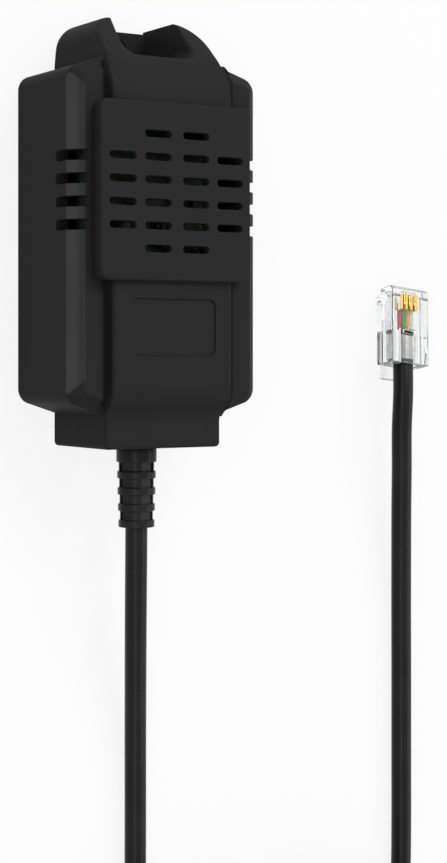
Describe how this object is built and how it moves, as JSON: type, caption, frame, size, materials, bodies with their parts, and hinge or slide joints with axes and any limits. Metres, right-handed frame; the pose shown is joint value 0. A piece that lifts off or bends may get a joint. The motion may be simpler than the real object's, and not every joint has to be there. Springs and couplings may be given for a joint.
{
  "type": "temperature and humidity sensor",
  "caption": "Wall-hang air sensor: black slotted case with a notched hanging ear, ringed strain relief, thin round lead and clear modular plug.",
  "frame": {"origin": "middle of the case's back face, ear and tab included, lead and plug left out", "axes": "+Z out of the grille, +Y towards the hanging ear, +X to the right seen from the front"},
  "size_m": [0.0682, 0.1693, 0.0185],
  "materials": {
    "case_plastic": "fine matte spark texture",
    "cover_plastic": "matte",
    "relief_plastic": "matte moulded",
    "cord_jacket": "satin",
    "clear_plastic": "clear gloss",
    "contact_gold": "gold plated",
    "screw_steel": "bright zinc",
    "board_laminate": "green lacquer",
    "sensor_package": "matte",
    "chip_package": "matte",
    "capacitor_can": "black shrunk sleeve",
    "ceramic_body": "matte",
    "tie_nylon": "satin",
    "core_red": "satin",
    "core_green": "satin",
    "core_yellow": "satin",
    "core_white": "satin"
  },
  "bodies": {
    "root": {"front_housing": "case_plastic", "rear_cover": "cover_plastic", "cover_screw_1": "screw_steel", "cover_screw_2": "screw_steel", "board_screw_1": "screw_steel", "board_screw_2": "screw_steel", "circuit_board": "board_laminate", "humidity_sensor": "sensor_package", "controller_chip": "chip_package", "supply_capacitor": "capacitor_can", "ceramic_capacitor_1": "ceramic_body", "ceramic_capacitor_2": "ceramic_body", "resistor_1": "chip_package", "resistor_2": "chip_package", "resistor_3": "chip_package", "strain_relief": "relief_plastic", "jacket_tail": "cord_jacket", "cable_tie": "tie_nylon", "core_red": "core_red", "core_green": "core_green", "core_yellow": "core_yellow", "core_white": "core_white", "cord_sensor_end": "cord_jacket", "cord_plug_end": "cord_jacket", "cord_coil": "cord_jacket", "plug_body": "clear_plastic", "plug_contact_1": "contact_gold", "plug_contact_2": "contact_gold", "plug_contact_3": "contact_gold", "plug_contact_4": "contact_gold", "plug_core_red": "core_red", "plug_core_green": "core_green", "plug_core_yellow": "core_yellow", "plug_core_white": "core_white", "plug_jacket_end": "cord_jacket"}
  },
  "joints": []
}
